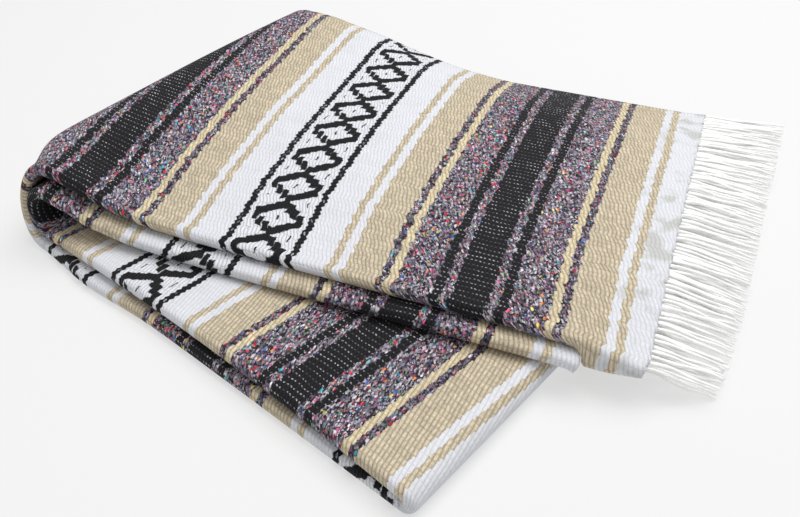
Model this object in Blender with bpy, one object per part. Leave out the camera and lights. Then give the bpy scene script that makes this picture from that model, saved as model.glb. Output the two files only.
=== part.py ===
# Falsa blanket, folded in quarters lengthwise and then in half twice, as four stacked passes.
# Metres, +Z up, +X along the top pass towards its fringe, +Y to the back.
# The cloth is one long ribbon. Its passes, from the top: top, second, third and bottom.
# In each pass the outer cloth is a wall round the front roll, open at the back, and the layers
# folded inside it are one core that runs through every pass and every turn.

import bpy
import math
from mathutils import Vector

MM = 0.001

# Cut of the cloth
CLOTH_WIDTH = 1.270
LENGTHWISE_LAYERS = 4
FRINGE_LENGTH = 0.050

# Thicknesses
CLOTH = 2.1 * MM
WALL_GAP = 0.3 * MM
PASS_GAP = 0.8 * MM

# Width of the folded strip, and half the thickness of one pass of four layers
STRIP = CLOTH_WIDTH / LENGTHWISE_LAYERS
HALF = (4 * CLOTH + 2 * WALL_GAP) / 2
CORE_HALF = HALF - CLOTH - WALL_GAP
PITCH = 2 * HALF + PASS_GAP

# Plan of the turns: the left turn's axis leans back to the right, and is pulled in at its front
LEFT_AXIS_X = -0.2065
LEFT_AXIS_LEAN = 0.198
LEFT_PULL = 0.022
LEFT_PULL_DEPTH = 0.024
LOOP_HEIGHT = 0.0644
INNER_LOOP_INSET = 4 * MM
INNER_LOOP_SAG = 3 * MM
INNER_SAG_REACH = 0.45
SLOPE_SLACK = 24 * MM

# Front and back ends, in plan, of the right turn of the two lower passes
RIGHT_AXIS_FRONT = (0.1445, -0.1235)
RIGHT_AXIS_BACK = (0.2330, 0.1815)

# Where the front roll of each pass lies at the left turn, and its depth there
TOP_FRONT_Y = 0.0
SECOND_FRONT_Y = -0.009
THIRD_FRONT_Y = -0.0135
BOTTOM_FRONT_Y = -0.015
LOWER_DEPTH = 0.315

# The two hems lean with the weave
TOP_HEM_X = 0.241
SECOND_HEM_X = 0.203
HEM_LEAN = 0.019

# How far the long front rolls bow out, in the middle of their length
SECOND_BOW = -0.003
THIRD_BOW = 0.005
BOTTOM_BOW = 0.001
THIRD_LIFT = 1.2 * MM

# Height of the top pass above the floor, in millimetres. Each row is a section across the
# strip, at a share of the way from the left turn to the hem. Its columns are the front roll,
# a quarter and half of the depth, the ledge over the lower passes' back edge, and the back.
HEIGHT_COLUMNS = ("along", "front", "quarter", "half", "ledge", "back")
TOP_HEIGHTS = (
    (0.00, 64.4, 64.4, 64.4, 61.0, 58.5),
    (0.06, 58.5, 60.5, 61.5, 60.0, 57.5),
    (0.12, 49.0, 53.0, 57.0, 56.5, 53.5),
    (0.20, 42.5, 47.5, 52.0, 52.0, 47.5),
    (0.30, 40.5, 45.0, 49.0, 46.5, 37.5),
    (0.42, 40.0, 45.0, 48.0, 42.5, 26.5),
    (0.56, 40.0, 43.5, 44.5, 40.0, 20.0),
    (0.70, 40.0, 41.5, 41.0, 39.6, 19.6),
    (0.85, 39.0, 40.5, 40.0, 39.4, 19.2),
    (0.92, 36.5, 39.8, 39.6, 38.8, 19.2),
    (1.00, 27.5, 38.0, 38.6, 37.0, 20.0),
)
LEDGE_MARGIN = 0.010

# Stations along the ribbon and points across it
PASS_STATIONS = (0.0, 0.05, 0.10, 0.16, 0.24, 0.34, 0.46, 0.58, 0.70, 0.82, 0.92, 1.0)
FLAT_STATIONS = (0.0, 0.12, 0.28, 0.46, 0.64, 0.82, 1.0)
TURN_STEPS = 9
ACROSS_STEPS = 10
ACROSS_CROWDING = 1.3
ROLL_STEPS = 6

# Groove between the two layers of the core, at its back edge
GROOVE_DEPTH = 8 * MM
CORE_SETBACK = 2 * MM

# Shares of a pass left open where two stretches meet, and where the core stops short of a hem
SEAM_SHARE = 0.0012
CORE_END_SHARE = 0.004

# Fringe: a thin strip beside the hem, from which the strands hang
STRIP_THICKNESS = 2 * MM
STRIP_INSET = 3 * MM
STRAND_INSET = 0.22
TOP_FRINGE_ROWS = 3
TOP_FRINGE_STRANDS = 38
SECOND_FRINGE_ROWS = 2
SECOND_FRINGE_STRANDS = 28
STRAND_POINTS = (0.3, 0.65, 1.0)
STRAND_WIDTH = 0.62
STRAND_TAPER = 0.55
STRAND_SWAY = 1.8 * MM
STRAND_SHORTEST = 0.88
STRAND_LEAST_RUN = 0.6
DROOP_CURVE = 1.6
TIP_CLEARANCE = 1.5 * MM
ROW_RISE = 2.1 * MM
ROW_SPLAY = 0.2 * MM
LEDGE_REACH = 0.030

# Colours and finish: the mean of each stretch's stripes
FABRIC_ROUGHNESS = 0.9
COLOURS = {
    "top_stretch": (0.50, 0.46, 0.43),
    "second_stretch": (0.36, 0.33, 0.31),
    "third_stretch": (0.44, 0.40, 0.37),
    "bottom_stretch": (0.42, 0.40, 0.38),
    "hidden_layers": (0.46, 0.42, 0.36),
    "fringe": (0.82, 0.81, 0.80),
}


def mix(a, b, share):
    return a + (b - a) * share


def smooth_value(places, values, at):
    """A curve through the values that never swings past them."""
    at = min(max(at, places[0]), places[-1])
    slopes = [(values[i + 1] - values[i]) / (places[i + 1] - places[i]) for i in range(len(places) - 1)]
    tangents = [0.0] + [harmonic_mean(slopes[i], slopes[i + 1]) for i in range(len(slopes) - 1)] + [slopes[-1]]
    span = 0
    while at > places[span + 1]:
        span += 1
    width = places[span + 1] - places[span]
    u = (at - places[span]) / width
    return ((2 * u**3 - 3 * u**2 + 1) * values[span] + (u**3 - 2 * u**2 + u) * width * tangents[span]
            + (3 * u**2 - 2 * u**3) * values[span + 1] + (u**3 - u**2) * width * tangents[span + 1])


def harmonic_mean(a, b):
    return 2 * a * b / (a + b) if a * b > 0 else 0.0


def left_axis_x(y):
    """Place of the left turn's axis, the same in plan for every pass."""
    pull = LEFT_PULL * math.exp(-(max(y, 0.0) / LEFT_PULL_DEPTH) ** 2)
    return LEFT_AXIS_X + LEFT_AXIS_LEAN * y + pull


def top_hem_x(across):
    return TOP_HEM_X - HEM_LEAN * across


def lower_back_edge_y(x):
    """Depth of the back edge of the two lower passes."""
    left_y = THIRD_FRONT_Y + LOWER_DEPTH
    left_x = left_axis_x(left_y)
    return mix(left_y, RIGHT_AXIS_BACK[1], (x - left_x) / (RIGHT_AXIS_BACK[0] - left_x))


def top_height(x, y):
    """Height of the top pass's upper face over a point of the floor."""
    across = min(max(y / STRIP, 0.0), 1.0)
    start = left_axis_x(y)
    along = (x - start) / (top_hem_x(across) - start)
    stations = [row[0] for row in TOP_HEIGHTS]
    heights = [smooth_value(stations, [row[i] for row in TOP_HEIGHTS], along)
               for i in range(1, len(HEIGHT_COLUMNS))]
    ledge = min(lower_back_edge_y(x) + LEDGE_MARGIN, STRIP - LEDGE_MARGIN)
    return smooth_value([0.0, STRIP / 4, STRIP / 2, ledge, STRIP], heights, y) * MM


def steepness(x, y):
    """Length of the top pass's upward normal for one metre of height."""
    step = 2 * MM
    rise_x = (top_height(x + step, y) - top_height(x - step, y)) / (2 * step)
    rise_y = (top_height(x, y + step) - top_height(x, y - step)) / (2 * step)
    return math.sqrt(1 + rise_x**2 + rise_y**2)


# Heights of the middle of the two lower passes
BOTTOM_MID = HALF
THIRD_MID = BOTTOM_MID + PITCH


def top_pass(along, across):
    """Middle of the top pass, from its hem (0) to the left turn (1)."""
    y = TOP_FRONT_Y + STRIP * across
    x = mix(top_hem_x(across), left_axis_x(y), along)
    return Vector((x, y, top_height(x, y) - HALF * steepness(x, y)))


def second_pass(along, across):
    """Middle of the second pass, from the left turn (0) to its hem (1)."""
    y = SECOND_FRONT_Y + STRIP * across + SECOND_BOW * 4 * along * (1 - along)
    x = mix(left_axis_x(y) + INNER_LOOP_INSET, SECOND_HEM_X - HEM_LEAN * across, along)
    slope = steepness(x, y)
    sag = INNER_LOOP_SAG * max(1 - along / INNER_SAG_REACH, 0.0) ** 2 + SLOPE_SLACK * (slope - 1)
    return Vector((x, y, top_height(x, y) - (HALF + PITCH) * slope - sag))


def third_pass(along, across):
    """Middle of the third pass, from the right turn (0) to the left turn (1)."""
    start, end = right_axis(across), left_axis(THIRD_FRONT_Y, LOWER_DEPTH, across)
    place = start.lerp(end + Vector((INNER_LOOP_INSET, 0, 0)), along)
    bump = 4 * along * (1 - along)
    return Vector((place.x, place.y + THIRD_BOW * bump, THIRD_MID + THIRD_LIFT * bump))


def bottom_pass(along, across):
    """Middle of the bottom pass, from the left turn (0) to the right turn (1)."""
    place = left_axis(BOTTOM_FRONT_Y, LOWER_DEPTH, across).lerp(right_axis(across), along)
    return Vector((place.x, place.y + BOTTOM_BOW * 4 * along * (1 - along), BOTTOM_MID))


def left_axis(front_y, depth, across):
    y = front_y + depth * across
    return Vector((left_axis_x(y), y, 0.0))


def right_axis(across):
    front, back = Vector(RIGHT_AXIS_FRONT), Vector(RIGHT_AXIS_BACK)
    return front.lerp(back, across).to_3d()


def turn(start, end, outward, around):
    """A half turn from start to end, bulging outward; around runs from 0 to 1."""
    angle = math.pi * around
    radius = abs(end.z - start.z) / 2
    return start.lerp(end, (1 - math.cos(angle)) / 2) + outward * radius * math.sin(angle)


def left_outward():
    return Vector((-1.0, LEFT_AXIS_LEAN, 0.0)).normalized()


def right_outward():
    width = Vector(RIGHT_AXIS_BACK) - Vector(RIGHT_AXIS_FRONT)
    return Vector((width.y, -width.x, 0.0)).normalized()


def outer_left_turn(around, across):
    return turn(top_pass(1, across), bottom_pass(0, across), left_outward(), around)


def right_turn(around, across):
    return turn(bottom_pass(1, across), third_pass(0, across), right_outward(), around)


def inner_left_turn(around, across):
    return turn(third_pass(1, across), second_pass(0, across), left_outward(), around)


def turn_stations():
    return [i / TURN_STEPS for i in range(TURN_STEPS + 1)]


def frame_at(surface, along, across):
    """Point, outward normal and forward direction on a surface of the ribbon."""
    step = 0.002
    a0, a1 = max(along - step, 0.0), min(along + step, 1.0)
    c0, c1 = max(across - step, 0.0), min(across + step, 1.0)
    length_way = surface(a1, across) - surface(a0, across)
    width_way = (surface(along, c1) - surface(along, c0)).normalized()
    normal = width_way.cross(length_way).normalized()
    return surface(along, across), normal, -width_way


def section(surface, along, half, inset):
    """One face of a pass, over its top, round the front roll and back along its underside."""
    upper, lower = [], []
    for i in range(ACROSS_STEPS + 1):
        point, normal, _ = frame_at(surface, along, (i / ACROSS_STEPS) ** ACROSS_CROWDING)
        upper.append(point + normal * half)
        lower.append(point - normal * half)
    for face in (upper, lower):
        face[-1] = face[-1] + (face[-2] - face[-1]).normalized() * inset
    centre, normal, forward = frame_at(surface, along, 0.0)
    roll = []
    for i in range(1, ROLL_STEPS):
        angle = math.pi * i / ROLL_STEPS
        roll.append(centre + (normal * math.cos(angle) + forward * math.sin(angle)) * half)
    return upper[::-1] + roll + lower


def new_object(name, vertices, faces, colour):
    mesh = bpy.data.meshes.new(name)
    mesh.from_pydata(vertices, [], faces)
    mesh.materials.append(fabric(name, colour))
    mesh.shade_smooth()
    mesh.set_sharp_from_angle(angle=math.radians(50))
    item = bpy.data.objects.new(name, mesh)
    blanket.objects.link(item)
    return item


def fabric(name, colour):
    material = bpy.data.materials.new(name)
    material.use_nodes = True
    shader = material.node_tree.nodes["Principled BSDF"]
    shader.inputs["Base Color"].default_value = (*colour, 1.0)
    shader.inputs["Roughness"].default_value = FABRIC_ROUGHNESS
    shader.inputs["Metallic"].default_value = 0.0
    return material


def loft(rings, turned_back):
    """Triangles between closed rings. Past turned_back the ring runs the other way, and the
    diagonals turn with it, so that two nested lofts are cut alike and stay apart."""
    count = len(rings[0])
    faces = []
    for i in range(len(rings) - 1):
        for j in range(count):
            k = (j + 1) % count
            a, b, c, d = i * count + j, (i + 1) * count + j, (i + 1) * count + k, i * count + k
            if j < turned_back:
                faces.extend(((a, b, c), (a, c, d)))
            else:
                faces.extend(((a, b, d), (b, c, d)))
    return faces


def folded_wall(name, stations):
    """The outer cloth of a stretch: two faces a cloth apart, round the front roll."""
    rings = []
    for surface, along in stations:
        outer = section(surface, along, HALF, 0.0)
        inner = section(surface, along, HALF - CLOTH, 0.0)
        rings.append(outer + inner[::-1])
    count = len(rings[0])
    faces = loft(rings, count // 2)
    last = (len(rings) - 1) * count
    for j in range(count // 2 - 1):
        k = count - 1 - j
        faces.append((j, j + 1, k - 1, k))
        faces.append((last + j, last + k, last + k - 1, last + j + 1))
    return new_object(name, [p for ring in rings for p in ring], faces, COLOURS[name])


def folded_core(name, stations):
    """The layers inside the walls, with a groove between them along the back edge."""
    rings = []
    for surface, along in stations:
        groove, _, _ = frame_at(surface, along, 1.0 - (CORE_SETBACK + GROOVE_DEPTH) / STRIP)
        rings.append([groove] + section(surface, along, CORE_HALF, CORE_SETBACK))
    count = len(rings[0])
    faces = loft(rings, count)
    last = (len(rings) - 1) * count
    faces.append((0, 1, count - 1))
    faces.append((last, last + count - 1, last + 1))
    for j in range(1, count // 2):
        k = count - j
        corners = (j, j + 1, k - 1, k) if j + 1 < k - 1 else (j, j + 1, k)
        faces.append(corners)
        faces.append(tuple(last + corner for corner in reversed(corners)))
    return new_object(name, [p for ring in rings for p in ring], faces, COLOURS[name])


def shortened(stations, start=0.0, end=0.0):
    """The same stations, with the first and last moved in along their own surfaces."""
    moved = list(stations)
    first_surface, first_along = moved[0]
    last_surface, last_along = moved[-1]
    moved[0] = (first_surface, first_along + start)
    moved[-1] = (last_surface, last_along - end)
    return moved


def ribbon():
    """Stations of each stretch, in order from the top hem to the second hem."""
    top = [(top_pass, 1 - s) for s in reversed(PASS_STATIONS)]
    outer = [(outer_left_turn, s) for s in turn_stations()[1:]]
    bottom = [(bottom_pass, s) for s in FLAT_STATIONS]
    right = [(right_turn, s) for s in turn_stations()]
    third = [(third_pass, s) for s in FLAT_STATIONS[1:]]
    inner = [(inner_left_turn, s) for s in turn_stations()]
    second = [(second_pass, s) for s in PASS_STATIONS[1:]]
    return top + outer, bottom, right + third, inner + second


def ground_height(x, y):
    """What a strand lies on: the lower passes where they reach, and the floor past them."""
    front, back = Vector(RIGHT_AXIS_FRONT), Vector(RIGHT_AXIS_BACK)
    edge = mix(front.x, back.x, (y - front.y) / (back.y - front.y)) + LEDGE_REACH
    return THIRD_MID + HALF + PASS_GAP if x < edge and y < lower_back_edge_y(x) + LEDGE_REACH else 0.0


def fringe(name, surface, along, rows, columns):
    """A strip beside the hem, whose outer face is divided into cells that grow into strands."""
    inner_x = WALL_GAP
    outer_x = WALL_GAP + STRIP_THICKNESS
    half = HALF - STRIP_THICKNESS / 4
    vertices, faces = [], []

    def grid_point(row, column, x):
        across = mix(STRIP_INSET, STRIP - STRIP_INSET, column / columns) / STRIP
        point, normal, _ = frame_at(surface, along, across)
        upward = normal * math.copysign(1.0, normal.z)
        return point + Vector((x, 0, 0)) + upward * half * mix(-1, 1, row / rows)

    def index(side, row, column):
        return (side * (rows + 1) + row) * (columns + 1) + column

    for x in (inner_x, outer_x):
        for row in range(rows + 1):
            for column in range(columns + 1):
                vertices.append(grid_point(row, column, x))
    for row in range(rows):
        for column in range(columns):
            faces.append((index(0, row, column), index(0, row + 1, column),
                          index(0, row + 1, column + 1), index(0, row, column + 1)))
    for column in range(columns):
        for row, flip in ((0, False), (rows, True)):
            face = (index(0, row, column), index(0, row, column + 1),
                    index(1, row, column + 1), index(1, row, column))
            faces.append(face[::-1] if flip else face)
    for row in range(rows):
        for column, flip in ((0, True), (columns, False)):
            face = (index(0, row, column), index(0, row + 1, column),
                    index(1, row + 1, column), index(1, row, column))
            faces.append(face[::-1] if flip else face)
    for row in range(rows):
        for column in range(columns):
            cell = (index(1, row, column), index(1, row, column + 1),
                    index(1, row + 1, column + 1), index(1, row + 1, column))
            add_strand(vertices, faces, cell, row, column, rows)
    return new_object(name, vertices, faces, COLOURS["fringe"])


def add_strand(vertices, faces, cell, row, column, rows):
    """A four-sided strand that grows from a cell, bends down and ends just above what is below."""
    corners = [vertices[i] for i in cell]
    centre = sum(corners, Vector()) / 4
    root = [corner.lerp(centre, STRAND_INSET) for corner in corners]
    sway = math.sin(2.3 * column + 1.9 * row) * STRAND_SWAY
    length = FRINGE_LENGTH * mix(STRAND_SHORTEST, 1.0, (1 - math.sin(1.7 * column + 2.6 * row)) / 2)
    drop = max(centre.z - TIP_CLEARANCE - ROW_RISE * row, 0.0)
    run = math.sqrt(max(length**2 - drop**2, (STRAND_LEAST_RUN * length) ** 2))
    loops = [cell]
    start = len(vertices)
    vertices.extend(root)
    loops.append(tuple(range(start, start + 4)))
    splay = ROW_SPLAY * mix(-1, 1, (row + 0.5) / rows)
    for share in STRAND_POINTS:
        x = centre.x + run * share
        z = centre.z - drop * share**DROOP_CURVE
        z = max(z, ground_height(x, centre.y) + TIP_CLEARANCE + ROW_RISE * row)
        place = Vector((x, centre.y + sway * share, z + splay))
        size = mix(STRAND_WIDTH, STRAND_WIDTH * STRAND_TAPER, share)
        start = len(vertices)
        vertices.extend(place + (corner - centre) * size for corner in corners)
        loops.append(tuple(range(start, start + 4)))
    for lower, upper in zip(loops, loops[1:]):
        for j in range(4):
            k = (j + 1) % 4
            faces.append((lower[j], lower[k], upper[k], upper[j]))
    faces.append(loops[-1])


def centre_on_floor():
    """Move everything so that the origin is the middle of the box's underside."""
    points = [vertex.co for item in blanket.objects for vertex in item.data.vertices]
    low = Vector([min(point[i] for point in points) for i in range(3)])
    high = Vector([max(point[i] for point in points) for i in range(3)])
    shift = Vector((-(low.x + high.x) / 2, -(low.y + high.y) / 2, -low.z))
    for item in blanket.objects:
        item.location = shift


for old in list(bpy.data.objects):
    bpy.data.objects.remove(old)
blanket = bpy.data.collections.new("folded_blanket")
bpy.context.scene.collection.children.link(blanket)

top_run, bottom_run, third_run, second_run = ribbon()
folded_wall("top_stretch", top_run)
folded_wall("bottom_stretch", shortened(bottom_run, SEAM_SHARE, SEAM_SHARE))
folded_wall("third_stretch", shortened(third_run, 0.0, SEAM_SHARE))
folded_wall("second_stretch", second_run)
core_run = top_run + bottom_run[1:] + third_run[1:] + second_run[1:]
folded_core("hidden_layers", shortened(core_run, CORE_END_SHARE, CORE_END_SHARE))
fringe("fringe_top", top_pass, 0.0, TOP_FRINGE_ROWS, TOP_FRINGE_STRANDS)
fringe("fringe_second", second_pass, 1.0, SECOND_FRINGE_ROWS, SECOND_FRINGE_STRANDS)
centre_on_floor()
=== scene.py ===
import math
import random
import bmesh
import bpy
import numpy as np
from mathutils import Matrix, Vector


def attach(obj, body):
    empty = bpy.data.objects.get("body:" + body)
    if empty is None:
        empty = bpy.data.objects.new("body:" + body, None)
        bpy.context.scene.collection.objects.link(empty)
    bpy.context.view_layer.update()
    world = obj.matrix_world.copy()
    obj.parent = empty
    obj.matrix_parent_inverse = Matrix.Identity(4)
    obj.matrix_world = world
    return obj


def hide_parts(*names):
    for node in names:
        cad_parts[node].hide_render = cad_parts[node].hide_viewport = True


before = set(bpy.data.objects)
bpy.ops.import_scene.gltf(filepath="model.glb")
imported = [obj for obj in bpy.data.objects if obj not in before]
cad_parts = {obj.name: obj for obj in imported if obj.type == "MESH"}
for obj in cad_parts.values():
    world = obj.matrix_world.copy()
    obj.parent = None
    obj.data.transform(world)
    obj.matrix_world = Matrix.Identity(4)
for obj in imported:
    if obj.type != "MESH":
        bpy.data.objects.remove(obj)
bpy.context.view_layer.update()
scene = bpy.context.scene
mm = 0.001
print("frame loaded")

# Where the folds lie, as on the solids: metres, +X towards the fringe, +Y to the back
stack = {
    "shift": (-0.031079, -0.095337),          # from the drawing of the folds to the frame
    "strip": 0.3175,                          # width once folded in quarters
    "cloth": 2.1 * mm,
    "half": 4.5 * mm,                         # half the thickness of one pass
    "pitch": 9.8 * mm,
    "innerHalf": 2.1 * mm,
    "innerCloth": 1.95 * mm,
    "leftX": -0.2065, "leftLean": 0.198, "leftPull": 0.022, "leftPullDepth": 0.024,
    "leftFlatten": 0.84,                      # the outer left turn is flatter than a half circle
    "innerInset": 4 * mm, "innerSag": 3 * mm, "innerSagReach": 0.45, "slopeSlack": 24 * mm,
    "rightFront": (0.1445, -0.1235), "rightBack": (0.2330, 0.1815),
    "topFront": 0.0, "secondFront": -0.009, "thirdFront": -0.0135, "bottomFront": -0.015,
    "topDepth": 0.3145, "lowerDepth": 0.315,
    "topHem": 0.241, "secondHem": 0.203, "hemLean": 0.019,
    "secondBow": -0.003, "thirdBow": 0.005, "bottomBow": 0.001, "thirdLift": 1.2 * mm,
    "bottomLoose": (-0.0045, 0.17, 0.12),     # the lowest pass bulges: how far, where along it, how long
}

# Height of the top pass in millimetres, by share of the way to the hem and by depth
topHeights = {
    "along":   (0.00, 0.06, 0.12, 0.20, 0.30, 0.42, 0.56, 0.70, 0.85, 0.90, 0.95, 1.00),
    "front":   (64.4, 58.5, 49.0, 42.5, 40.5, 40.0, 40.0, 40.0, 39.0, 38.0, 31.5, 27.5),
    "quarter": (64.4, 60.5, 53.0, 47.5, 45.0, 45.0, 43.5, 41.5, 40.5, 40.0, 39.2, 38.0),
    "middle":  (64.4, 61.5, 57.0, 52.0, 49.0, 48.0, 44.5, 41.0, 40.0, 39.7, 39.3, 38.6),
    "ledge":   (61.0, 60.0, 56.5, 52.0, 46.5, 42.5, 40.0, 39.6, 39.4, 39.0, 38.2, 37.0),
    "back":    (57.0, 55.5, 51.0, 44.5, 34.5, 24.5, 19.6, 19.4, 19.2, 19.2, 19.4, 20.0),
}
ledgeMargin = 0.007

# The weave along the cloth: distance between the rows of diamonds, and the spacing of its yarns
weave = {
    "repeat": 0.2923,
    "warp": 4.42 * mm,
    "pick": 1.43 * mm,
    "diamondShift": 2.0 * mm,
    # the middle of a row of diamonds on each stretch, in the drawing of the folds: which row it is,
    # then its depths and its places along X
    "rows": {
        "topCloth": (0, (0.0, 0.035, 0.070, 0.200, 0.3175), (-0.0145, -0.0190, -0.0229, -0.0311, -0.0385)),
        "bottomCloth": (-1, (-0.06, 0.30), (-0.1704, 0.0024)),
        "thirdCloth": (-3, (-0.08, 0.30), (-0.0950, 0.0471)),
        "secondCloth": (-4, (-0.02, 0.31), (-0.0547, -0.0755)),
    },
}


def harmonic(a, b):
    same = a * b > 0
    return np.where(same, 2 * a * b / np.where(same, a + b, 1.0), 0.0)


def curveThrough(places, values, at):             # never swings past its values
    slopes = [(values[i + 1] - values[i]) / (places[i + 1] - places[i]) for i in range(len(places) - 1)]
    tangents = [0.0 * slopes[0]] + [harmonic(a, b) for a, b in zip(slopes, slopes[1:])] + [slopes[-1]]
    result = 0.0
    for i in range(len(slopes)):
        width = places[i + 1] - places[i]
        t = np.clip((at - places[i]) / width, 0.0, 1.0)
        part = ((2 * t**3 - 3 * t**2 + 1) * values[i] + (t**3 - 2 * t**2 + t) * width * tangents[i]
                + (3 * t**2 - 2 * t**3) * values[i + 1] + (t**3 - t**2) * width * tangents[i + 1])
        result = part if i == 0 else np.where(at > places[i], part, result)
    return result


def leftPull(y):                                  # the left turn is gathered in at its front
    return stack["leftPull"] * np.exp(-(np.maximum(y, 0.0) / stack["leftPullDepth"]) ** 2)


def leftAxisX(y):
    return stack["leftX"] + stack["leftLean"] * y + leftPull(y)


def lowerBackY(x):
    leftY = stack["thirdFront"] + stack["lowerDepth"]
    leftX = float(leftAxisX(leftY))
    backX, backY = stack["rightBack"]
    return leftY + (backY - leftY) * (x - leftX) / (backX - leftX)


def topHeight(x, y):
    across = np.clip(y / stack["strip"], 0.0, 1.0)
    start = leftAxisX(y)
    along = (x - start) / (stack["topHem"] - stack["hemLean"] * across - start)
    at = np.clip(along, 0.0, 1.0)
    columns = [np.asarray(curveThrough(topHeights["along"], topHeights[name], at))
               for name in ("front", "quarter", "middle", "ledge", "back")]
    ledge = np.minimum(lowerBackY(x) + ledgeMargin, stack["strip"] - ledgeMargin)
    front = 0.0 * x
    places = [front, front + stack["strip"] / 4, front + stack["strip"] / 2, ledge, front + stack["strip"]]
    return curveThrough(places, columns, np.clip(y, 0.0, stack["strip"])) * mm


def steepness(x, y):
    step = 2 * mm
    riseX = (topHeight(x + step, y) - topHeight(x - step, y)) / (2 * step)
    riseY = (topHeight(x, y + step) - topHeight(x, y - step)) / (2 * step)
    return np.sqrt(1 + riseX**2 + riseY**2)


def points(x, y, z):
    return np.stack(np.broadcast_arrays(x, y, z), axis=-1)


def topPass(along, across):                       # from its hem to the left turn
    y = stack["topFront"] + stack["topDepth"] * across
    hem = stack["topHem"] - stack["hemLean"] * across
    x = hem + (leftAxisX(y) - hem) * along
    return points(x, y, topHeight(x, y) - stack["half"] * steepness(x, y))


def secondPass(along, across):                    # from the left turn to its hem
    y = stack["secondFront"] + stack["strip"] * across + stack["secondBow"] * 4 * along * (1 - along)
    start = leftAxisX(y) + stack["innerInset"]
    x = start + (stack["secondHem"] - stack["hemLean"] * across - start) * along
    slope = steepness(x, y)
    sag = (stack["innerSag"] * np.maximum(1 - along / stack["innerSagReach"], 0.0) ** 2
           + stack["slopeSlack"] * (slope - 1))
    return points(x, y, topHeight(x, y) - (stack["half"] + stack["pitch"]) * slope - sag)


def leftAxis(frontY, across):
    y = frontY + stack["lowerDepth"] * across
    return points(leftAxisX(y), y, 0.0 * y)


def rightAxis(across):
    (x0, y0), (x1, y1) = stack["rightFront"], stack["rightBack"]
    return points(x0 + (x1 - x0) * across, y0 + (y1 - y0) * across, 0.0 * across)


def thirdPass(along, across):                     # from the right turn to the left turn
    end = leftAxis(stack["thirdFront"], across) + np.array((stack["innerInset"], 0, 0))
    place = rightAxis(across) + (end - rightAxis(across)) * along[..., None]
    bump = 4 * along * (1 - along)
    return place + points(0.0 * bump, stack["thirdBow"] * bump,
                          stack["half"] + stack["pitch"] + stack["thirdLift"] * bump)


def bottomPass(along, across):                    # from the left turn to the right turn
    start = leftAxis(stack["bottomFront"], across)
    place = start + (rightAxis(across) - start) * along[..., None]
    loose, looseAt, looseReach = stack["bottomLoose"]
    bow = (stack["bottomBow"] * 4 * along * (1 - along)
           + loose * np.exp(-((along - looseAt) / looseReach) ** 2))
    return place + points(0.0 * bow, bow, 0.0 * bow + stack["half"])


def halfTurn(start, end, outward, around):
    angle = math.pi * around[..., None]
    radius = np.abs(end[..., 2:] - start[..., 2:]) / 2
    return start + (end - start) * (1 - np.cos(angle)) / 2 + outward * radius * np.sin(angle)


def leftOutward():
    return np.array(Vector((-1.0, stack["leftLean"], 0.0)).normalized())


def rightOutward():
    (x0, y0), (x1, y1) = stack["rightFront"], stack["rightBack"]
    return np.array(Vector((y1 - y0, x0 - x1, 0.0)).normalized())


def outerLeftTurn(around, across):
    one, none = 0 * around + 1, 0 * around
    outward = leftOutward() * stack["leftFlatten"]
    return halfTurn(topPass(one, across), bottomPass(none, across), outward, around)


def rightTurn(around, across):
    one, none = 0 * around + 1, 0 * around
    return halfTurn(bottomPass(one, across), thirdPass(none, across), rightOutward(), around)


def innerLeftTurn(around, across):
    one, none = 0 * around + 1, 0 * around
    return halfTurn(thirdPass(one, across), secondPass(none, across), leftOutward(), around)


def distanceAlong(grid):                          # length walked from the first station, in each column
    steps = np.linalg.norm(np.diff(grid, axis=0), axis=2)
    return np.concatenate((np.zeros((1, grid.shape[1])), np.cumsum(steps, axis=0)))


def rolledAlong(walked, rollSteps):               # the same for a rolled sheet, from back edge to back edge
    roll = np.repeat(walked[:, :1], rollSteps - 1, axis=1)
    return np.concatenate((walked[:, ::-1], roll, walked), axis=1)


def rolledAcross(acrossSteps, rollSteps, half):
    down = np.linspace(stack["strip"], 0, acrossSteps + 1)
    rollLength = math.pi * half
    return np.concatenate((down, -rollLength * np.arange(1, rollSteps) / rollSteps, -rollLength - down[::-1]))


def weaveStart(name, middle, walked):             # how far along the weave a stretch starts, in each column
    row, depths, places = weave["rows"][name]
    away = middle[..., 0] - np.interp(middle[..., 1], depths, places)
    starts = []
    for j in range(middle.shape[1]):
        i = min(max(int(np.argmin(np.abs(away[:, j]))), 1), len(away) - 2)
        slope = (away[i + 1, j] - away[i - 1, j]) / (walked[i + 1, j] - walked[i - 1, j])
        starts.append(row * weave["repeat"] + walked[i, j] - away[i, j] / slope)
    return np.array(starts)


def ribbonGrid(segments, acrossSteps):            # middle surface, unit normals and forward directions
    across = np.linspace(0.0, 1.0, acrossSteps + 1)
    rows = []
    for k, (surface, start, end, steps) in enumerate(segments):
        along = np.linspace(start, end, steps + 1)[0 if k == 0 else 1:]
        rows.append(surface(*np.meshgrid(along, across, indexing="ij")))
    middle = np.concatenate(rows)
    lengthWay = np.gradient(middle, axis=0)
    widthWay = np.gradient(middle, axis=1)
    widthWay /= np.linalg.norm(widthWay, axis=2, keepdims=True)
    normal = np.cross(widthWay, lengthWay)
    normal /= np.linalg.norm(normal, axis=2, keepdims=True)
    return middle, normal, -widthWay


# Lumps along the top hem, where the warp ends are gathered
hemLook = {
    "spacing": 0.0138,
    "drift": 0.25, "driftWaves": 35,              # how far the lumps wander off their spacing, and how often
    "depth": 2.2 * mm, "rise": 0.7 * mm, "reach": 0.012,
    "meanLump": 0.65,
}


def lumpyHem(middle, walked):
    y = middle[..., 1]
    wander = hemLook["drift"] * np.sin(hemLook["driftWaves"] * y)
    lump = np.abs(np.sin(math.pi * (y / hemLook["spacing"] + wander))) ** 0.5
    near = np.clip(1 - walked / hemLook["reach"], 0, 1) ** 1.5
    middle[..., 0] += (lump - hemLook["meanLump"]) * hemLook["depth"] * near
    middle[..., 2] += lump * hemLook["rise"] * near
    return middle


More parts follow.
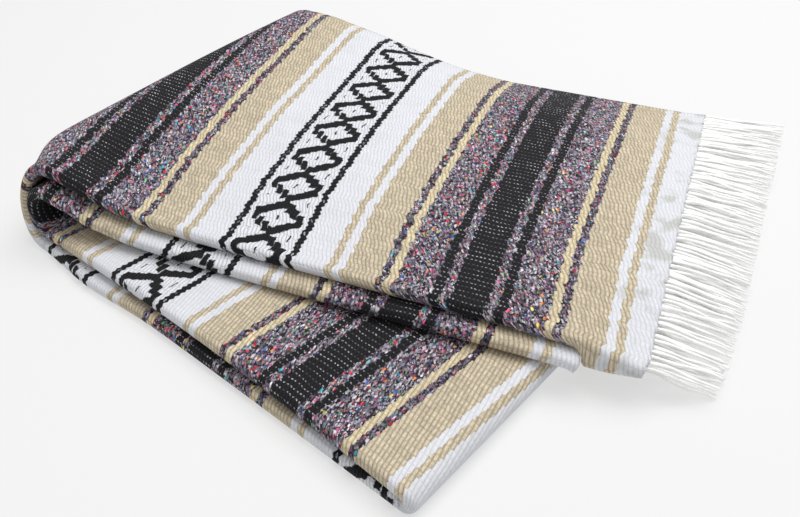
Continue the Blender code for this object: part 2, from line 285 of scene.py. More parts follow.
# Soft troughs and ridges in the cloth, given one by one: metres along the stretch and from its front,
# from one end to the other, then how wide and how high
creases = {
    "topCloth": ((0.010, 0.060, 0.055, 0.150, 0.010, -0.9 * mm),
                 (0.030, 0.165, 0.012, 0.235, 0.011, -0.8 * mm),
                 (0.150, 0.030, 0.230, 0.090, 0.014, 0.8 * mm),
                 (0.290, 0.120, 0.360, 0.220, 0.016, 0.9 * mm)),
    "thirdCloth": ((0.040, 0.040, 0.130, 0.075, 0.012, -0.8 * mm),
                   (0.170, 0.020, 0.250, 0.060, 0.013, 0.8 * mm)),
    "secondCloth": ((0.200, 0.030, 0.300, 0.060, 0.014, -0.7 * mm),),
    "bottomCloth": ((0.060, 0.040, 0.160, 0.090, 0.014, 0.5 * mm),),
}


def creased(middle, normal, walked, marks):
    y = np.linspace(0.0, stack["strip"], middle.shape[1])[None, :] + 0 * walked
    lift = 0 * walked
    for u0, v0, u1, v1, width, height in marks:
        du, dv = u1 - u0, v1 - v0
        share = np.clip(((walked - u0) * du + (y - v0) * dv) / (du**2 + dv**2), 0, 1)
        away = np.hypot(walked - u0 - share * du, y - v0 - share * dv)
        lift += height * np.exp(-(away / width) ** 2) * (0.55 + 0.45 * np.sin(math.pi * share))
    return middle + normal * lift[..., None]


def rolledSheet(middle, normal, forward, half, rollSteps):        # top face, front roll, underside
    roll = []
    for i in range(1, rollSteps):
        angle = math.pi * i / rollSteps
        roll.append(middle[:, 0] + (normal[:, 0] * math.cos(angle) + forward[:, 0] * math.sin(angle)) * half)
    upper = (middle + normal * half)[:, ::-1]
    lower = middle - normal * half
    return np.concatenate((upper, np.stack(roll, axis=1), lower), axis=1)


# Past the end of the second pass the front of the top pass hangs open below: metres from the hem
frontHang = {"depth": 12.5 * mm, "full": 0.0365, "end": 0.0415, "reach": 0.022}


def hungFront(place, walked, rollSteps):
    hang = frontHang["depth"] * np.clip(walked / frontHang["full"], 0, 1)
    hang *= np.clip((frontHang["end"] - walked) / (frontHang["end"] - frontHang["full"]), 0, 1)
    roll = (1 - np.cos(math.pi * np.arange(1, rollSteps) / rollSteps)) / 2
    acrossPoints = (place.shape[1] - rollSteps + 1) // 2
    under = np.exp(-(np.linspace(0, stack["strip"], acrossPoints) / frontHang["reach"]) ** 2)
    share = np.concatenate((np.zeros(acrossPoints), roll, under))
    place[..., 2] -= hang[:, None] * share
    return place


def shapedGrid(name, place, weaveMap, material):  # a flat grid, shaped by where each of its points goes
    lengthSteps, widthSteps = place.shape[0] - 1, place.shape[1] - 1
    bm = bmesh.new()
    bmesh.ops.create_grid(bm, x_segments=lengthSteps, y_segments=widthSteps, size=0.5)
    layer = bm.loops.layers.uv.new("weave")
    spot = {}
    for vert in bm.verts:
        i = round((vert.co.x + 0.5) * lengthSteps)
        j = round((vert.co.y + 0.5) * widthSteps)
        spot[vert] = (i, j)
    for vert, (i, j) in spot.items():
        vert.co = place[i, j]
    for face in bm.faces:
        face.smooth = True
        for loop in face.loops:
            loop[layer].uv = weaveMap[spot[loop.vert]]
    mesh = bpy.data.meshes.new(name)
    bm.to_mesh(mesh)
    bm.free()
    mesh.materials.append(material)
    piece = bpy.data.objects.new(name, mesh)
    scene.collection.objects.link(piece)
    return piece


def faceOutward(piece, outward):                  # turns the sheet over if its first face looks inward
    mesh = piece.data
    if mesh.polygons[0].normal.dot(Vector(outward)) < 0:
        bm = bmesh.new()
        bm.from_mesh(mesh)
        bmesh.ops.reverse_faces(bm, faces=bm.faces)
        bm.to_mesh(mesh)
        bm.free()


def wall(piece, thickness):
    solid = piece.modifiers.new("wall", "SOLIDIFY")
    solid.thickness = thickness
    solid.offset = -1.0


# Shader maths: a wrapped socket that adds its nodes as it is used
class Wire:
    def __init__(self, tree, socket):
        self.tree = tree
        self.socket = socket

    def node(self, kind, values=(), out=0, **settings):
        made = self.tree.nodes.new(kind)
        for key, value in settings.items():
            if key == "stops":                    # the ramp's own two ends first, then the stops between
                for k, (place, colour) in enumerate(value):
                    stop = made.color_ramp.elements[k] if k < 2 else made.color_ramp.elements.new(place)
                    stop.position = place
                    stop.color = (*colour, 1.0)
            else:
                setattr(made, key, value)
        for key, value in (values.items() if isinstance(values, dict) else enumerate(values)):
            if isinstance(value, Wire):
                self.tree.links.new(value.socket, made.inputs[key])
            elif value is not None:
                made.inputs[key].default_value = value
        return Wire(self.tree, made.outputs[out])

    def math(self, operation, *others):
        return self.node("ShaderNodeMath", (self, *others), operation=operation)

    def __add__(self, other):
        return self.math("ADD", other)

    def __radd__(self, other):
        return self.math("ADD", other)

    def __sub__(self, other):
        return self.math("SUBTRACT", other)

    def __rsub__(self, other):
        return self.node("ShaderNodeMath", (other, self), operation="SUBTRACT")

    def __mul__(self, other):
        return self.math("MULTIPLY", other)

    def __rmul__(self, other):
        return self.math("MULTIPLY", other)

    def __truediv__(self, other):
        return self.math("DIVIDE", other)

    def __rtruediv__(self, other):
        return self.node("ShaderNodeMath", (other, self), operation="DIVIDE")

    def __pow__(self, other):
        return self.math("POWER", other)

    def __gt__(self, other):
        return self.math("GREATER_THAN", other)

    def __lt__(self, other):
        return self.math("LESS_THAN", other)

    def floor(self):
        return self.math("FLOOR")

    def absolute(self):
        return self.math("ABSOLUTE")

    def wrapped(self, size):
        return self.math("FLOORED_MODULO", size)

    def mirrored(self, size):
        return self.math("PINGPONG", size)

    def atMost(self, other):
        return self.math("MINIMUM", other)

    def atLeast(self, other):
        return self.math("MAXIMUM", other)

    def ease(self, low, high):                    # smooth step from 0 at low to 1 at high
        limits = {"Value": self, "From Min": low, "From Max": high}
        return self.node("ShaderNodeMapRange", limits, interpolation_type="SMOOTHSTEP")

    def blend(self, first, second):               # colours, by this value
        return self.node("ShaderNodeMix", {0: self, 6: first, 7: second}, out=2, data_type="RGBA")


def vector(x, y, z=0.0):
    return x.node("ShaderNodeCombineXYZ", (x, y, z))


def band(value, low, high, soft):                 # 1 between low and high
    return value.ease(low - soft, low + soft) * (1.0 - value.ease(high - soft, high + soft))


clothLook = {
    "white": (0.70, 0.71, 0.75),
    "tan": (0.595, 0.51, 0.375),
    "cream": (0.68, 0.58, 0.39),
    "black": (0.010, 0.010, 0.012),
    "dot": (0.55, 0.55, 0.58),
    "shaded": (0.46, 0.46, 0.42),
    "roughness": 0.92, "sheen": 0.05, "specular": 0.15,
    "grainDepth": 0.7 * mm,
    # millimetres from the middle of a row of diamonds to where each stripe ends
    "stripes": {"field": 22.6, "chain": 27.4, "ground": 50.6, "thinTan": 56.0, "thinWhite": 62.0,
                "wideTan": 86.4, "darkFleck": 91.8, "cream": 97.2, "wideFleck": 122.4,
                "thinBlack": 128.4, "thinFleck": 134.4},
    "diamondColumn": 5.4,                         # width of one step of the diamonds
    "slant": 0.30,                                # lean of each grain of weft
    "floatLengths": 0.6, "floatWidths": 0.5,      # how much the dark floats differ
    "shadedFrom": (222.0, 245.0),                 # towards the top hem the white has more patches of painted grey shade
}


def falsaCloth():
    material = bpy.data.materials.new("falsaCloth")
    material.use_nodes = True
    tree = material.node_tree
    shader = tree.nodes["Principled BSDF"]
    start = Wire(tree, None)                      # makes the nodes that follow from no other
    look = clothLook
    ends = look["stripes"]
    repeat = weave["repeat"] / mm
    warp, pick = weave["warp"] / mm, weave["pick"] / mm
    white, tan, cream, black, dot, shaded = ((*look[name], 1.0) for name in (
        "white", "tan", "cream", "black", "dot", "shaded"))

    def part(wire, out):
        return Wire(tree, wire.socket.node.outputs[out])

    def noise(scale, detail, at):
        return start.node("ShaderNodeTexNoise", {"Vector": at, "Scale": scale, "Detail": detail})

    def dimmed(colour, amount):
        grey = start.node("ShaderNodeCombineColor", (amount, amount, amount))
        return start.node("ShaderNodeMix", {0: 1.0, 6: colour, 7: grey}, out=2, data_type="RGBA",
                          blend_type="MULTIPLY")

    uv = start.node("ShaderNodeSeparateXYZ", (start.node("ShaderNodeUVMap", uv_map="weave"),))
    flatU, flatV = uv * 1000.0, part(uv, 1) * 1000.0
    flat = vector(flatU, flatV)
    u = flatU + (noise(0.045, 1.0, flat) - 0.5) * 2.0 + (noise(0.35, 1.0, flat) - 0.5) * 0.2
    v = flatV + (noise(0.05, 1.0, vector(flatV, flatU, 40.0)) - 0.5) * 3.0

    # the lattice of grains: each weft passes over one warp and under the next, and leans
    column = (v / warp).floor()
    odd = column.wrapped(2.0)
    dv = v - (column + 0.5) * warp
    leant = u + dv * look["slant"]
    row = ((leant / pick - odd) / 2.0).floor()
    middleU = (row * 2.0 + 1.0 + odd) * pick
    du = leant - middleU
    across = du / pick
    rounded = 1.0 - across * across
    endwise = 1.0 - (dv / (warp / 2)) ** 4.0 * 0.6
    chance = start.node("ShaderNodeTexWhiteNoise", {"Vector": vector(row, column)})
    chances = start.node("ShaderNodeSeparateXYZ", (part(chance, 1),))
    chanceB, chanceC = part(chances, 1), part(chances, 2)
    height = rounded.atLeast(0.0) ** 0.6 * endwise * (0.7 + chanceB * 0.3)
    core = rounded.atLeast(0.0) ** 1.3 * endwise
    streak = noise(1.0, 1.0, vector(leant * 1.5, v * 0.32))
    patch = noise(0.10, 2.0, flat)

    # which stripe the grain belongs to
    s = (middleU * 0.4 + leant * 0.6 - dv * look["slant"] * 0.6 + (chance - 0.5) * 0.5
         + (noise(0.5, 2.0, vector(flatV, flatU * 0.3)) - 0.5) * 1.6).mirrored(repeat / 2)

    # flecked yarn: near black, greys and white, with bright neps
    fibres = start.node("ShaderNodeTexVoronoi", {"Vector": vector(leant, v * 0.62), "Scale": 0.92})
    fibreParts = start.node("ShaderNodeSeparateXYZ", (part(fibres, 1),))
    fibreB, fibreC = part(fibreParts, 1), part(fibreParts, 2)
    greys = start.node("ShaderNodeValToRGB", (fibreParts,), stops=(
        (0.0, (0.016, 0.014, 0.018)), (1.0, (0.66, 0.64, 0.68)), (0.28, (0.045, 0.036, 0.050)),
        (0.50, (0.16, 0.135, 0.170)), (0.72, (0.29, 0.250, 0.305)), (0.88, (0.48, 0.45, 0.50))))
    hues = start.node("ShaderNodeValToRGB", (fibreB,), stops=(
        (0.0, (0.62, 0.02, 0.05)), (1.0, (0.78, 0.62, 0.10)), (0.22, (0.60, 0.04, 0.20)),
        (0.36, (0.40, 0.12, 0.36)), (0.48, (0.05, 0.12, 0.45)), (0.62, (0.04, 0.40, 0.50)),
        (0.74, (0.10, 0.40, 0.14)), (0.86, (0.72, 0.20, 0.06))))
    hues.socket.node.color_ramp.interpolation = "CONSTANT"
    nep = start.node("ShaderNodeTexVoronoi", {"Vector": vector(u, v * 0.60, 5.0), "Scale": 0.28})
    nepParts = start.node("ShaderNodeSeparateXYZ", (part(nep, 1),))
    nepSpot = (1.0 - nep.ease(0.20, 0.32)) * (nepParts > 0.66)
    nepHue = start.node("ShaderNodeValToRGB", (part(nepParts, 1),), stops=(
        (0.0, (0.80, 0.04, 0.06)), (1.0, (0.85, 0.85, 0.88)), (0.25, (0.75, 0.10, 0.30)),
        (0.38, (0.06, 0.16, 0.55)), (0.50, (0.05, 0.45, 0.55)), (0.62, (0.15, 0.50, 0.18)),
        (0.70, (0.80, 0.70, 0.15)), (0.78, (0.80, 0.30, 0.08))))
    nepHue.socket.node.color_ramp.interpolation = "CONSTANT"
    yarnTone = noise(1.0, 1.0, vector(row * 3.7 + odd * 1.9, v * 0.16, 71.0))
    fleck = dimmed(((fibreC > 0.90) * 0.6).blend(greys, hues), 0.45 + yarnTone * 1.05)
    fleck = nepSpot.blend(fleck, nepHue)
    darkFleck = ((chanceC > 0.35) * 0.42).blend(fleck, (0.022, 0.014, 0.022, 1.0))

    # white warp ends between the grains, which show on the black stripes
    dotAway = ((across.absolute() - 1.0) ** 2.0 * 2.4 + ((dv.absolute() - warp / 2) / 0.75) ** 2.0) ** 0.5
    bright = (chanceC > 0.62) * (0.25 + chanceB * 1.1) * patch.ease(0.30, 0.55)
    warpDot = (1.0 - dotAway.ease(0.45, 1.10)) * (0.10 + bright)

    # diamonds: each column of the field is a step wide, and its dark floats stand a step further along;
    # two sides of each diamond go in steps, and the rising two run on as a line
    columnWidth = look["diamondColumn"]
    fieldU = (u + repeat / 2).wrapped(repeat) - repeat / 2
    fieldV = v + weave["diamondShift"] / mm + (noise(0.5, 1.0, vector(u, v, 9.0)) - 0.5) * 1.8
    ragged = fieldU + (noise(0.7, 2.0, vector(u, v, 3.0)) - 0.5) * 2.4
    step = (ragged / columnWidth + 0.5).floor()
    order = step.absolute()
    round8 = (fieldV / warp).wrapped(8.0)
    w = round8.mirrored(4.0)
    side = 1.0 - (round8 > 4.0) * 2.0
    rising = ((ragged > 0.0) * 2.0 - 1.0) * side < 0.0
    stepped = 1.0 - rising
    order = order + ((ragged / columnWidth).absolute() - order) * rising * 0.70
    middleW = (0.6 + (3.0 - order) * 0.95) - (order > 2.5) * stepped * 0.15
    inStep = (ragged + (w - middleW) * side * warp * 0.12) / columnWidth - step
    reach = 1.06 + stepped * 0.10 + (noise(0.22, 1.0, vector(v, u, 23.0)) - 0.5) * look["floatLengths"]
    bar = 1.0 - (w - middleW).absolute().ease(reach - 0.12, reach + 0.12)
    halfWidth = (0.53 + rising * 0.30 - (side < 0.0) * stepped * 0.10
                 + (noise(0.16, 1.0, vector(u, v, 17.0)) - 0.5) * look["floatWidths"])
    bar = bar * (1.0 - (inStep.absolute() - halfWidth).ease(-0.06, 0.06)) * (order < 3.5)
    fromStep = ragged / columnWidth - step
    pip = (1.0 - w.ease(0.45, 0.65)) * (1.0 - fromStep.absolute().ease(0.08, 0.16)) * (order < 0.5)
    atSides = (order > 2.5) * (order < 3.5) * (chanceB > 0.3)
    sidePip = (w > 3.2) * (1.0 - fromStep.absolute().ease(0.06, 0.13)) * atSides
    figure = bar.atLeast(pip).atLeast(sidePip)
    floatEnd = ((fieldV / warp + order * 0.5 + chance * 0.15).wrapped(2.0) - 1.0).absolute().ease(0.78, 1.0)
    lane = ((u + v * 0.27 + (noise(0.3, 1.0, flat) - 0.5) * 1.6) / 2.6).wrapped(1.0) - 0.5
    floatHeight = (1.0 - (lane.absolute() * 2.0) ** 3.0 * 0.8) * (1.0 - floatEnd * 0.5)
    # painted shade: the field's colour is darker in the gaps and at the ends of the white floats
    field = dimmed(figure.blend(white, black), 0.80 + floatHeight * 0.22)

    # the dark rope on each side of the diamonds, with small light loops
    t = fieldU.absolute()
    beadV = (v / warp).wrapped(1.0) - 0.5
    ropeMiddle = (ends["field"] + ends["chain"]) / 2
    loop = (((t - ropeMiddle + beadV * 1.4) / 0.60) ** 2.0 + (beadV * 3.2) ** 2.0) ** 0.5
    loopDot = (1.0 - (loop - 0.75).absolute().ease(0.10, 0.45)) * (chanceC > 0.68) * chanceB
    rope = (loopDot * 0.85).blend(black, white)
    ropeBulge = 1.0 - (beadV.absolute() * 2.0) ** 3.0
    onRope = band(t + (beadV.absolute() - 0.25) * 2.6, ends["field"], ends["chain"], 0.35)

    # painted shade: the grooves between the grains are painted darker, and the yarn is uneven in tone
    fine = noise(1.0, 2.0, vector(leant * 0.9, v * 0.7, 31.0))
    uneven = patch * 0.25 + streak * 0.45 + fine * 0.90 + chanceB * 0.24
    deepShadeAndTone = (0.60 + core * 0.42) * (0.10 + uneven * 0.96)
    shallowShadeAndTone = (0.92 + core * 0.08) * (0.79 + uneven * 0.21)
    roughShadeAndTone = (0.50 + core * 0.55) * (0.85 + chanceB * 0.40)
    # painted shade: the black yarn is painted darker away from each grain's core
    blackYarn = warpDot.atMost(1.0).blend(dimmed(black, 0.5 + core), dot)
    # painted shade: soft grey patches painted on the white, stronger towards the top hem
    shadePatches = noise(0.05, 2.0, vector(flatU, flatV, 60.0)).ease(0.48, 0.64)
    shadePatches = shadePatches * (0.10 + flatU.ease(*look["shadedFrom"]) * 0.55)
    paleYarn = dimmed(shadePatches.blend(white, shaded), shallowShadeAndTone)
    tanYarn, creamYarn = dimmed(tan, deepShadeAndTone), dimmed(cream, deepShadeAndTone)
    fleckYarn, darkYarn = dimmed(fleck, roughShadeAndTone), dimmed(darkFleck, roughShadeAndTone)
    body = (s > ends["ground"]).blend(paleYarn, tanYarn)
    following = {"thinTan": paleYarn, "thinWhite": tanYarn, "wideTan": darkYarn, "darkFleck": creamYarn,
                 "cream": fleckYarn, "wideFleck": blackYarn, "thinBlack": fleckYarn, "thinFleck": blackYarn}
    for name, yarn in following.items():          # the yarn that follows each stripe
        body = (s > ends[name]).blend(body, yarn)
    inField = 1.0 - t.ease(ends["field"] - 1.1, ends["field"] - 0.1)
    final = onRope.blend(inField.blend(body, field), rope)

    bumps = height * (1.0 - inField) + floatHeight * inField * 1.6 + onRope * ropeBulge * 0.8
    fuzz = noise(2.2, 3.0, flat)
    normal = start.node("ShaderNodeBump", {"Strength": 0.75, "Distance": look["grainDepth"],
                                           "Height": bumps + fuzz * 0.3})
    tree.links.new(final.socket, shader.inputs["Base Color"])
    tree.links.new(normal.socket, shader.inputs["Normal"])
    shader.inputs["Roughness"].default_value = look["roughness"]
    shader.inputs["Sheen Weight"].default_value = look["sheen"]
    shader.inputs["Specular IOR Level"].default_value = look["specular"]
    return material


yarnLook = {
    "white": 0.93,
    "blueShare": 0.985,
    "groove": 0.08,                               # painted shade: how much darker the yarn is painted between the plies
    "grooveDepth": 0.2 * mm,
    "roughness": 0.9, "specular": 0.2,
    "glow": 0.03,                                 # painted light: the thin yarn glows a little, to lift the shade between strands
}


def fringeYarn():
    material = bpy.data.materials.new("fringeYarn")
    material.use_nodes = True
    tree = material.node_tree
    shader = tree.nodes["Principled BSDF"]
    start = Wire(tree, None)
    uv = start.node("ShaderNodeUVMap", uv_map="twist")
    around = start.node("ShaderNodeSeparateXYZ", (uv,))
    along = Wire(tree, around.socket.node.outputs[1])
    ply = (around * 2.0 + along * 0.9).wrapped(1.0)
    groove = (ply - 0.5).absolute() * 2.0
    # painted shade: the yarn is painted darker in the grooves between its plies
    shade = yarnLook["white"] - groove.ease(0.6, 1.0) * yarnLook["groove"]
    colour = start.node("ShaderNodeCombineColor", (shade, shade, shade * yarnLook["blueShare"]))
    tree.links.new(colour.socket, shader.inputs["Base Color"])
    bump = start.node("ShaderNodeBump", {"Strength": 0.25, "Distance": yarnLook["grooveDepth"],
                                         "Height": 1.0 - groove})
    tree.links.new(bump.socket, shader.inputs["Normal"])
    shader.inputs["Roughness"].default_value = yarnLook["roughness"]
    shader.inputs["Specular IOR Level"].default_value = yarnLook["specular"]
    # painted light: the fringe glows faintly though it is no lamp
    shader.inputs["Emission Color"].default_value = (1.0, 1.0, 1.0, 1.0)
    shader.inputs["Emission Strength"].default_value = yarnLook["glow"]
    return material


clothMaterial = falsaCloth()
fringeMaterial = fringeYarn()
print("materials made")


def stretchedTurn(place, walked, fromFirst):
    # how much further the yarn has gone along the surface itself than along the middle of the layers
    paces = np.linalg.norm(np.diff(place, axis=0), axis=2)
    extra = np.vstack([np.zeros(paces.shape[1]), np.cumsum(paces, axis=0)]) - (walked - walked[0])
    return extra if fromFirst else extra - extra[-1]


def toFrame(place):
    return place + np.array((*stack["shift"], 0.0))


# The ribbon in order, from the top hem to the second hem: (surface, from, to, steps)
stretches = {
    "topCloth": {"node": "top_stretch", "segments": [(topPass, 0, 1, 150), (outerLeftTurn, 0, 1, 36)],
                 "restsOn": ["second_stretch", "bottom_stretch"]},
    "bottomCloth": {"node": "bottom_stretch", "segments": [(bottomPass, 0, 1, 60)],
                    "restsOn": ["floor"]},
    "thirdCloth": {"node": "third_stretch", "segments": [(rightTurn, 0, 1, 18), (thirdPass, 0, 1, 130)],
                   "restsOn": ["bottom_stretch"]},
    "secondCloth": {"node": "second_stretch",
                    "segments": [(innerLeftTurn, 0, 1, 24), (secondPass, 0, 1, 130)],
                    "restsOn": ["third_stretch"]},
}
acrossSteps, rollSteps = 90, 10

for name, facts in stretches.items():
    middle, normal, forward = ribbonGrid(facts["segments"], acrossSteps)
    walked = distanceAlong(middle)
    middle = creased(middle, normal, walked, creases[name])
    if name == "topCloth":
        middle = lumpyHem(middle, walked)
    place = rolledSheet(middle, normal, forward, stack["half"], rollSteps)
    if name == "topCloth":
        place = hungFront(place, walked[:, 0], rollSteps)
    weaveMap = np.empty((*place.shape[:2], 2))
    weaveMap[..., 0] = rolledAlong(weaveStart(name, middle, walked) - walked, rollSteps)
    weaveMap[..., 0] -= stretchedTurn(place, rolledAlong(walked, rollSteps), name == "topCloth")
    weaveMap[..., 1] = rolledAcross(acrossSteps, rollSteps, stack["half"])
    piece = shapedGrid(name, toFrame(place), weaveMap, clothMaterial)
    faceOutward(piece, normal[0, -1])
    wall(piece, stack["cloth"])
    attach(piece, "root")
    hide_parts(facts["node"])

# The two layers folded inside, the whole way along, with their own fold at the front
allSegments = [(topPass, 0.004, 1, 110), (outerLeftTurn, 0, 1, 24), (bottomPass, 0, 1, 40),
               (rightTurn, 0, 1, 16), (thirdPass, 0, 1, 70), (innerLeftTurn, 0, 1, 18),
               (secondPass, 0, 0.996, 90)]
innerSteps, innerRollSteps = 40, 6
topStations = 100                                 # the weave is set by the part that lies in the top pass
middle, normal, forward = ribbonGrid(allSegments, innerSteps)
walked = distanceAlong(middle)
place = rolledSheet(middle, normal, forward, stack["innerHalf"], innerRollSteps)
weaveMap = np.empty((*place.shape[:2], 2))
topStart = weaveStart("topCloth", middle[:topStations], walked[:topStations])
weaveMap[..., 0] = rolledAlong(topStart - walked, innerRollSteps)
weaveMap[..., 1] = rolledAcross(innerSteps, innerRollSteps, stack["innerHalf"]) + 2 * stack["strip"]
innerCloth = shapedGrid("innerCloth", toFrame(place), weaveMap, clothMaterial)
faceOutward(innerCloth, normal[0, -1])
wall(innerCloth, stack["innerCloth"])
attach(innerCloth, "root")
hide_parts("hidden_layers")

# Fringe: soft warp ends, one per warp in each of the four layers, by share of the way across the hem
fringeFacts = {
    "layers": 4, "layerGap": 1.9 * mm, "rootInset": 2.0 * mm,
    "radius": 1.35 * mm, "sides": 8, "rings": 14, "twists": 2.5, "flatness": 0.8, "taper": 0.45,
    "clearance": 1.6 * mm, "layerRise": 2.8 * mm, "tipSpread": 2.5 * mm, "ledgeReach": 0.030,
    "uneven": 0.16, "stray": 1.6 * mm, "clump": 2.0 * mm, "clumpWaves": 47,
    # the least and the most of one strand
    "curl": (0.95, 1.35), "ripple": (0.2, 0.8), "waves": (5, 9), "girth": (0.8, 1.12),
}
fringes = {
    "fringeTop": {"surface": "top", "hem": 0.0, "node": "fringe_top",
                  "across": (0.0, 0.08, 0.25, 0.5, 0.75, 1.0),
                  "run": (0.043, 0.047, 0.052, 0.055, 0.060, 0.064),
                  "drift": (0.010, 0.014, 0.024, 0.032, 0.034, 0.020), "from": 0.0},
    "fringeSecond": {"surface": "second", "hem": 1.0, "node": "fringe_second", "across": (0.0, 1.0),
                     "run": (0.040, 0.046), "drift": (0.016, 0.020), "from": 0.10},
}


def straightStrand():                             # one strand along X, a metre long, to be bent and scaled
    facts = fringeFacts
    bm = bmesh.new()
    layer = bm.loops.layers.uv.new("twist")
    bmesh.ops.create_circle(bm, segments=facts["sides"], radius=1.0,
                            matrix=Matrix.Rotation(math.radians(90), 4, "Y"), cap_ends=False)
    ring = list(bm.edges)
    for i in range(facts["rings"]):
        grown = bmesh.ops.extrude_edge_only(bm, edges=ring)["geom"]
        verts = [item for item in grown if isinstance(item, bmesh.types.BMVert)]
        bmesh.ops.translate(bm, verts=verts, vec=(1.0 / facts["rings"], 0, 0))
        ring = [item for item in grown if isinstance(item, bmesh.types.BMEdge)
                and all(vert in verts for vert in item.verts)]
    bmesh.ops.contextual_create(bm, geom=ring)
    bmesh.ops.recalc_face_normals(bm, faces=bm.faces)
    for face in bm.faces:
        face.smooth = True
        turns = [math.atan2(loop.vert.co.z, loop.vert.co.y) / (2 * math.pi) + 0.5 for loop in face.loops]
        for loop, turn in zip(face.loops, turns):
            loop[layer].uv = (turn + (1.0 if max(turns) - turn > 0.5 else 0.0), loop.vert.co.x * 5)
    mesh = bpy.data.meshes.new("strand")
    bm.to_mesh(mesh)
    bm.free()
    return mesh


def groundHeight(x, y):                           # what a strand lies on: the lower passes, then the floor
    (x0, y0), (x1, y1) = stack["rightFront"], stack["rightBack"]
    edge = x0 + (x1 - x0) * (y - y0) / (y1 - y0) + stack["pitch"]
    past = max(x - edge, y - float(lowerBackY(x))) / fringeFacts["ledgeReach"]
    return (stack["pitch"] * 2 + 0.2 * mm) * (1 - min(max(past, 0.0), 1.0))


def makeFringe(name, plan):
    facts = fringeFacts
    surface = {"top": topPass, "second": secondPass}[plan["surface"]]
    strand = straightStrand()
    bm = bmesh.new()
    count = round(stack["strip"] * (1 - plan["from"]) / weave["warp"])
    across = plan["from"] + (1 - plan["from"]) * (np.arange(count) + 0.5) / count
    alongs = np.full_like(across, plan["hem"])
    middle = surface(alongs, across)
    nearby = surface(alongs, np.clip(across + 0.01, 0, 1))
    inside = surface(alongs + (0.01 if plan["hem"] < 0.5 else -0.01), across)
    for layerIndex in range(facts["layers"]):
        level = (layerIndex - (facts["layers"] - 1) / 2) * facts["layerGap"]
        for k in range(count):
            rng = random.Random(layerIndex * 1000 + k * 7 + len(name))
            widthWay = Vector(nearby[k] - middle[k]).normalized()
            outWay = Vector(middle[k] - inside[k]).normalized()
            upward = outWay.cross(widthWay).normalized()
            if upward.z < 0:
                upward.negate()
            root = Vector(middle[k]) + upward * level - outWay * facts["rootInset"]
            root += widthWay * (rng.uniform(-1, 1) * mm + layerIndex % 2 * weave["warp"] / 2)
            run = np.interp(across[k], plan["across"], plan["run"])
            run *= 1 - facts["uneven"] * rng.random() ** 2
            drift = (np.interp(across[k], plan["across"], plan["drift"]) + rng.gauss(0, facts["stray"])
                     + facts["clump"] * math.sin(across[k] * facts["clumpWaves"] + layerIndex * 0.4))
            tipZ = facts["clearance"] + facts["layerRise"] * layerIndex + rng.random() * facts["tipSpread"]
            drop = max(root.z - tipZ, 0.0)
            curl = rng.uniform(*facts["curl"])
            ripple = rng.uniform(*facts["ripple"]) * mm
            phase, waves = rng.uniform(0, 6.28), rng.uniform(*facts["waves"])
            turn = rng.uniform(0, 6.28)
            girth = facts["radius"] * rng.uniform(*facts["girth"])
            first = len(bm.verts)
            bm.from_mesh(strand)
            bm.verts.ensure_lookup_table()
            for vert in bm.verts[first:]:
                share = min(max(vert.co.x, 0.0), 1.0)
                size = girth * (1.0 - facts["taper"] * share ** 2)
                angle = turn + share * facts["twists"] * math.pi
                y, z = vert.co.y, vert.co.z * facts["flatness"]
                y, z = y * math.cos(angle) - z * math.sin(angle), y * math.sin(angle) + z * math.cos(angle)
                x = root.x + run * share
                spotY = root.y + drift * share + ripple * math.sin(share * waves + phase)
                ground = groundHeight(x, spotY) + facts["clearance"] + facts["layerRise"] * layerIndex * 0.5
                fall = drop * share ** curl - ripple * 0.7 * math.sin(share * waves * 1.3)
                vert.co = Vector((x, spotY + y * size, max(root.z - fall, ground) + z * size))
    mesh = bpy.data.meshes.new(name)
    bmesh.ops.translate(bm, verts=bm.verts, vec=(*stack["shift"], 0.0))
    bm.to_mesh(mesh)
    bm.free()
    mesh.materials.append(fringeMaterial)
    piece = bpy.data.objects.new(name, mesh)
    scene.collection.objects.link(piece)
    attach(piece, "root")
    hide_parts(plan["node"])
    print(name, "has", count * facts["layers"], "strands")
    return piece


fringeTop = makeFringe("fringeTop", fringes["fringeTop"])
fringeSecond = makeFringe("fringeSecond", fringes["fringeSecond"])
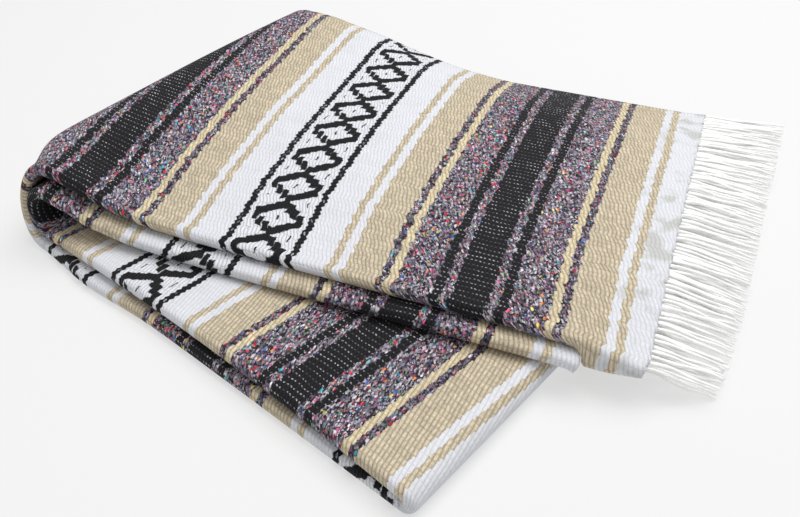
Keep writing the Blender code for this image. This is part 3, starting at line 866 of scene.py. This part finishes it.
# Floor, light and camera
studio = {
    "floor": (0.30, 0.30, 0.30), "floorReach": 6.0,
    "floorGlow": 0.545,                           # the floor is a light table
    "cameraPlace": (0.243311, -0.485307, 0.39835),
    "right": (0.91236, 0.40790, -0.03142),
    "down": (0.22878, -0.57294, -0.78770),
    "forward": (-0.33898, 0.71180, -0.61610),
    "lens": 41.04, "sensor": 36.0, "clipStart": 0.01,
    "world": 0.50,
    # where each panel hangs, its width and its power
    "lamps": {"skyPanel": ((0.3, 0.5, 1.7), 1.5, 31), "sidePanel": ((-0.3, -0.9, 1.5), 1.2, 2)},
}
floorMesh = bpy.data.meshes.new("floor")
bm = bmesh.new()
bmesh.ops.create_grid(bm, x_segments=1, y_segments=1, size=studio["floorReach"])
bm.to_mesh(floorMesh)
bm.free()
floor = bpy.data.objects.new("floor", floorMesh)
scene.collection.objects.link(floor)
floorMaterial = bpy.data.materials.new("paleFloor")
floorMaterial.use_nodes = True
floorShader = floorMaterial.node_tree.nodes["Principled BSDF"]
floorShader.inputs["Base Color"].default_value = (*studio["floor"], 1.0)
floorShader.inputs["Emission Color"].default_value = (1.0, 1.0, 1.0, 1.0)
floorShader.inputs["Emission Strength"].default_value = studio["floorGlow"]
floorShader.inputs["Roughness"].default_value = 0.8
floorShader.inputs["Specular IOR Level"].default_value = 0.1
floorMesh.materials.append(floorMaterial)

world = bpy.data.worlds.new("studio")
world.use_nodes = True
world.node_tree.nodes["Background"].inputs["Color"].default_value = (1.0, 1.0, 1.0, 1.0)
world.node_tree.nodes["Background"].inputs["Strength"].default_value = studio["world"]
scene.world = world


def softLight(name, place, size, power):          # a square panel, turned towards the blanket
    data = bpy.data.lights.new(name, "AREA")
    data.shape = "SQUARE"
    data.size = size
    data.energy = power
    lamp = bpy.data.objects.new(name, data)
    lamp.location = place
    lamp.rotation_euler = (-Vector(place)).to_track_quat("-Z", "Y").to_euler()
    scene.collection.objects.link(lamp)


for name, (place, size, power) in studio["lamps"].items():
    softLight(name, place, size, power)

right, down, ahead = (Vector(studio[name]) for name in ("right", "down", "forward"))
cameraData = bpy.data.cameras.new("camera")
cameraData.lens = studio["lens"]
cameraData.sensor_width = studio["sensor"]
cameraData.clip_start = studio["clipStart"]
camera = bpy.data.objects.new("camera", cameraData)
turned = Matrix((right, -down, -ahead)).transposed().to_4x4()
camera.matrix_world = Matrix.Translation(studio["cameraPlace"]) @ turned
scene.collection.objects.link(camera)
scene.camera = camera
scene.view_settings.view_transform = "Standard"
print("studio ready")
